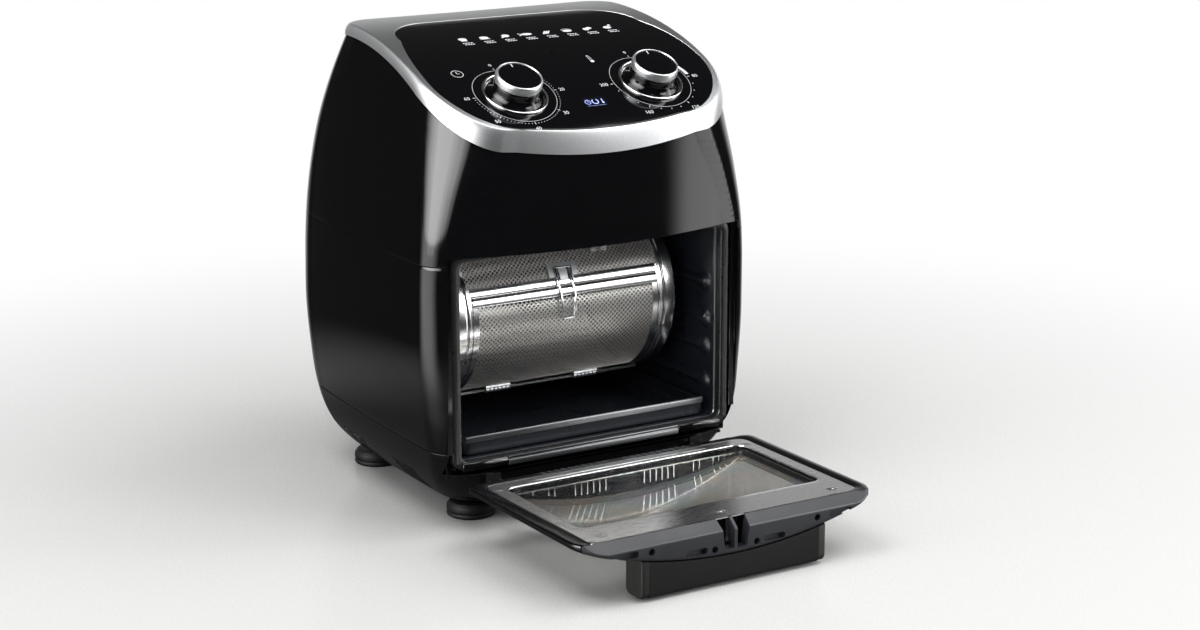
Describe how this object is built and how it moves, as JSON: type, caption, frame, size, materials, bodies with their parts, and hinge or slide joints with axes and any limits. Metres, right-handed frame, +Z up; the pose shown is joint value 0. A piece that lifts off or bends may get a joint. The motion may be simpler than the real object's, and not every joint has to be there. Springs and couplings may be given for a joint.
{
  "type": "air fryer oven with drop-down glass door",
  "caption": "Countertop air fryer oven with a drop-down double-glazed door, two control dials and a turning mesh drum above a drip tray.",
  "frame": {"origin": "on the table, under the middle of the footprint with the door lying open", "axes": "+X to the user's right, +Y to the back, +Z up"},
  "size_m": [0.332, 0.5268, 0.427],
  "materials": {
    "gloss_black": "gloss",
    "base_black": "semi-gloss",
    "foot_rubber": "matt",
    "silver_trim": "satin",
    "panel_black": "gloss",
    "display_glass": "gloss",
    "bright_trim": "polished",
    "switch_body": "matt",
    "flange_black": "satin",
    "seal_rubber": "matt",
    "brushed_steel": "brushed",
    "coated_steel": "non-stick coating",
    "lamp_glass": "gloss",
    "door_glass": "gloss",
    "satin_grey": "satin"
  },
  "bodies": {
    "casing": {"base_shell": "base_black", "front_left_foot": "foot_rubber", "front_right_foot": "foot_rubber", "rear_left_foot": "foot_rubber", "rear_right_foot": "foot_rubber", "left_side_shell": "gloss_black", "right_side_shell": "gloss_black", "hood_shell": "gloss_black", "rear_cover": "base_black", "mains_inlet": "foot_rubber", "control_bezel": "silver_trim", "control_panel": "panel_black", "display_window": "display_glass", "timer_dial_ring": "bright_trim", "timer_unit": "switch_body", "temperature_dial_ring": "bright_trim", "temperature_unit": "switch_body", "front_flange": "flange_black", "door_seal": "seal_rubber", "front_sill": "brushed_steel", "left_hinge_cover": "base_black", "right_hinge_cover": "base_black", "cavity_liner": "coated_steel", "heating_element": "brushed_steel", "element_guard": "brushed_steel", "fan_motor": "brushed_steel", "lamp_lens": "lamp_glass", "drum_motor": "brushed_steel", "drum_bracket": "brushed_steel", "left_hinge_pin": "brushed_steel", "left_hinge_bracket": "brushed_steel", "right_hinge_pin": "brushed_steel", "right_hinge_bracket": "brushed_steel"},
    "door": {"door_shell": "gloss_black", "door_top_rail": "satin_grey", "door_inner_plate": "brushed_steel", "door_inner_glass": "door_glass", "door_outer_glass": "door_glass", "door_handle": "satin_grey", "left_handle_end": "silver_trim", "right_handle_end": "silver_trim", "left_hinge_arm": "brushed_steel", "right_hinge_arm": "brushed_steel"},
    "tray": {"drip_tray": "coated_steel"},
    "drum": {"drum_shell": "brushed_steel", "left_drum_cap": "bright_trim", "right_drum_cap": "bright_trim", "hatch_hinge_rod": "brushed_steel", "latch_plate": "brushed_steel"},
    "hatch": {"drum_hatch": "brushed_steel", "hatch_band": "bright_trim"},
    "bail": {"latch_bail": "bright_trim"},
    "drive": {"drive_socket": "brushed_steel"},
    "fan": {"convection_fan": "brushed_steel"},
    "timer_dial": {"timer_knob": "panel_black", "timer_knob_trim": "bright_trim"},
    "temperature_dial": {"temperature_knob": "panel_black", "temperature_knob_trim": "bright_trim"},
    "catch": {"door_catch": "brushed_steel"}
  },
  "joints": [
    {"name": "door_hinge", "type": "hinge", "parent": "casing", "child": "door", "pos_m": [0, -0.05669, 0.0428], "axis": [1, 0, 0], "range_deg": [-90, 0]},
    {"name": "tray_slide", "type": "slide", "parent": "casing", "child": "tray", "axis": [0, -1, 0], "range_m": [0, 0.2]},
    {"name": "drum_spin", "type": "hinge", "parent": "casing", "child": "drum", "pos_m": [0, 0.08011, 0.172], "axis": [1, 0, 0], "continuous": true},
    {"name": "drive_spin", "type": "hinge", "parent": "casing", "child": "drive", "pos_m": [0, 0.08011, 0.172], "axis": [1, 0, 0], "continuous": true},
    {"name": "hatch_hinge", "type": "hinge", "parent": "drum", "child": "hatch", "pos_m": [0, 0.05422, 0.09842], "axis": [1, 0, 0], "range_deg": [0, 45]},
    {"name": "bail_hinge", "type": "hinge", "parent": "drum", "child": "bail", "pos_m": [0, 0.01503, 0.21426], "axis": [-1, 0, 0], "range_deg": [0, 100]},
    {"name": "timer_turn", "type": "hinge", "parent": "casing", "child": "timer_dial", "pos_m": [-0.069, -0.02259, 0.38231], "axis": [0, 0.454, -0.891], "range_deg": [-27, 243]},
    {"name": "temperature_turn", "type": "hinge", "parent": "casing", "child": "temperature_dial", "pos_m": [0.069, -0.02259, 0.38231], "axis": [0, 0.454, -0.891], "range_deg": [-27, 243]},
    {"name": "fan_spin", "type": "hinge", "parent": "casing", "child": "fan", "pos_m": [0, 0.08411, 0.283], "axis": [0, 0, 1], "continuous": true},
    {"name": "catch_slide", "type": "slide", "parent": "casing", "child": "catch", "axis": [0, 1, 0], "range_m": [0, 0.004], "stiffness_N_per_m": 400}
  ],
  "couplings": [
    {"joint": "drive_spin", "follows": "drum_spin", "ratio": 1}
  ]
}
